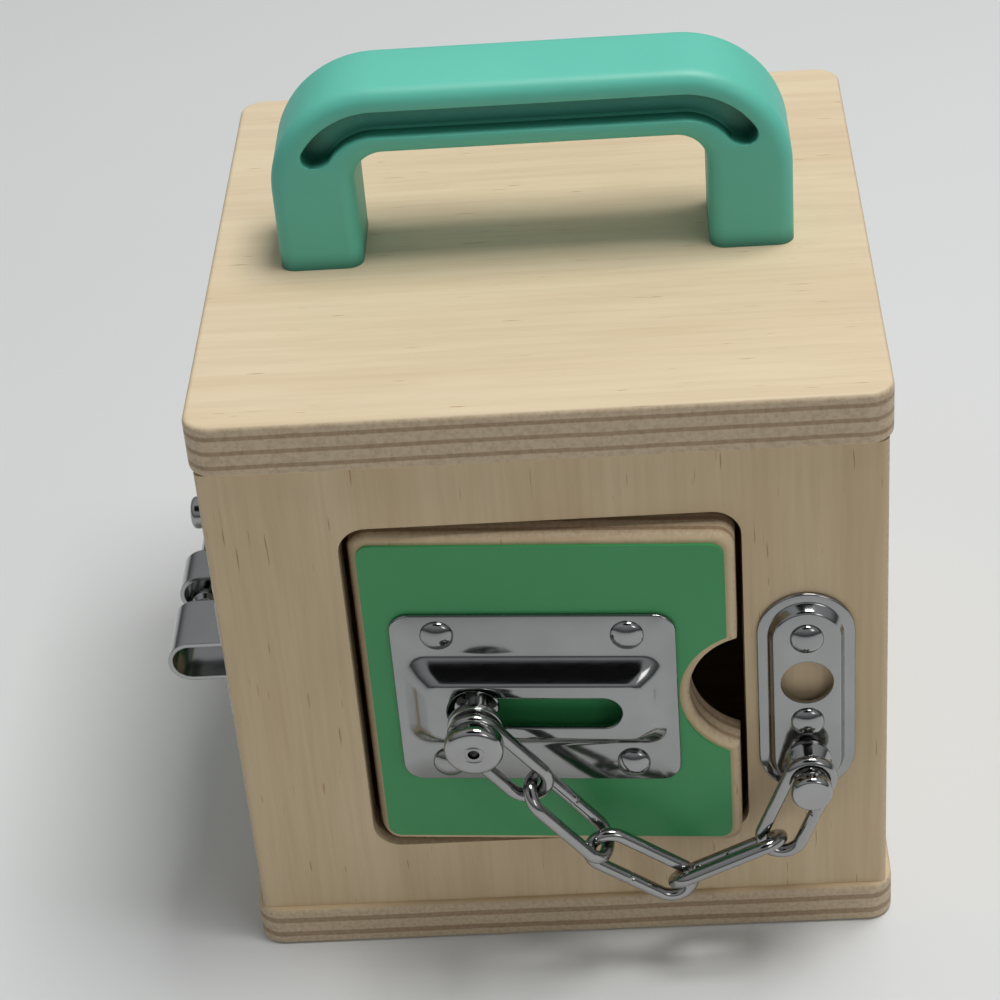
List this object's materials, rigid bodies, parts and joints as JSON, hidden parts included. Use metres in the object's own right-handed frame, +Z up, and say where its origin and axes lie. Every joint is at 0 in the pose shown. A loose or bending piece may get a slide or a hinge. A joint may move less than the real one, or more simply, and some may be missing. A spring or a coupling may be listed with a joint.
{
  "type": "busy board lock box",
  "caption": "Wooden toy lock box with a carrying handle, a pivoted front door on a door chain and a bolted side door.",
  "frame": {"origin": "middle of the base panel's underside", "axes": "+Z up, -Y out of the front with the chain-held door, -X towards the bolted side"},
  "size_m": [0.166, 0.1729, 0.1956],
  "materials": {
    "plywood": "satin",
    "dowel_wood": "satin",
    "door_plywood": "satin",
    "green_facing": "gloss",
    "teal_plastic": "gloss",
    "plated_steel": "polished",
    "chain_steel": "polished",
    "pin_steel": "satin"
  },
  "bodies": {
    "box": {"base_panel": "plywood", "top_panel": "plywood", "panel_dowels": "dowel_wood", "front_wall": "plywood", "back_wall": "plywood", "left_wall": "plywood", "right_wall": "plywood", "front_hinge_pins": "pin_steel", "left_hinge_pins": "pin_steel", "handle": "teal_plastic", "handle_screws": "pin_steel", "keeper_plate": "plated_steel", "keeper_nails": "plated_steel", "keeper_post": "plated_steel", "bolt_keeper": "plated_steel", "bolt_keeper_nails": "plated_steel"},
    "front_door": {"front_door": "door_plywood", "front_door_facing": "green_facing", "track_plate": "plated_steel", "track_nails": "plated_steel"},
    "chain_link_5": {"chain_link_5": "chain_steel"},
    "chain_link_4": {"chain_link_4": "chain_steel"},
    "chain_link_3": {"chain_link_3": "chain_steel"},
    "chain_link_2": {"chain_link_2": "chain_steel"},
    "chain_link_1": {"chain_link_1": "chain_steel"},
    "chain_stud": {"chain_stud": "plated_steel"},
    "left_door": {"left_door": "door_plywood", "left_door_facing": "green_facing", "bolt_plate": "plated_steel", "bolt_plate_nails": "plated_steel"},
    "bolt": {"bolt_rod": "plated_steel"}
  },
  "joints": [
    {"name": "front_door_hinge", "type": "hinge", "parent": "box", "child": "front_door", "pos_m": [-0.0398, -0.0697, 0.074], "axis": [0, 0, -1], "range_deg": [-4.1, 5]},
    {"name": "chain_link_5_swing", "type": "hinge", "parent": "box", "child": "chain_link_5", "pos_m": [0.0565, -0.0849, 0.053], "axis": [0, 0, 1], "range_deg": [-0.62, 0.76]},
    {"name": "chain_link_4_swing", "type": "hinge", "parent": "chain_link_5", "child": "chain_link_4", "pos_m": [0.04962, -0.08533, 0.03594], "axis": [0, 0, 1], "range_deg": [-0.62, 0.76]},
    {"name": "chain_link_3_swing", "type": "hinge", "parent": "chain_link_4", "child": "chain_link_3", "pos_m": [0.02454, -0.08688, 0.02527], "axis": [0, 0, 1], "range_deg": [-0.62, 0.76]},
    {"name": "chain_link_2_swing", "type": "hinge", "parent": "chain_link_3", "child": "chain_link_2", "pos_m": [0.00949, -0.08781, 0.03684], "axis": [0, 0, 1], "range_deg": [-0.215, 0.26]},
    {"name": "chain_link_1_swing", "type": "hinge", "parent": "chain_link_2", "child": "chain_link_1", "pos_m": [-0.00712, -0.08884, 0.05894], "axis": [0, 0, 1], "range_deg": [-0.51, 0.42]},
    {"name": "chain_stud_swing", "type": "hinge", "parent": "chain_link_1", "child": "chain_stud", "pos_m": [-0.01849, -0.08954, 0.07407], "axis": [0, 0, 1], "range_deg": [-1.51, 1.24]},
    {"name": "left_door_hinge", "type": "hinge", "parent": "box", "child": "left_door", "pos_m": [-0.0697, 0.0316, 0.074], "axis": [0, 0, -1], "range_deg": [0, 90]},
    {"name": "bolt_slide", "type": "slide", "parent": "left_door", "child": "bolt", "axis": [0, -1, 0], "range_m": [0, 0.018]}
  ],
  "couplings": [
    {"joint": "chain_link_5_swing", "follows": "front_door_hinge", "ratio": 0.15},
    {"joint": "chain_link_4_swing", "follows": "front_door_hinge", "ratio": 0.15},
    {"joint": "chain_link_3_swing", "follows": "front_door_hinge", "ratio": 0.15},
    {"joint": "chain_link_2_swing", "follows": "front_door_hinge", "ratio": 0.05},
    {"joint": "chain_link_1_swing", "follows": "front_door_hinge", "ratio": -0.1},
    {"joint": "chain_stud_swing", "follows": "front_door_hinge", "ratio": -0.3}
  ]
}
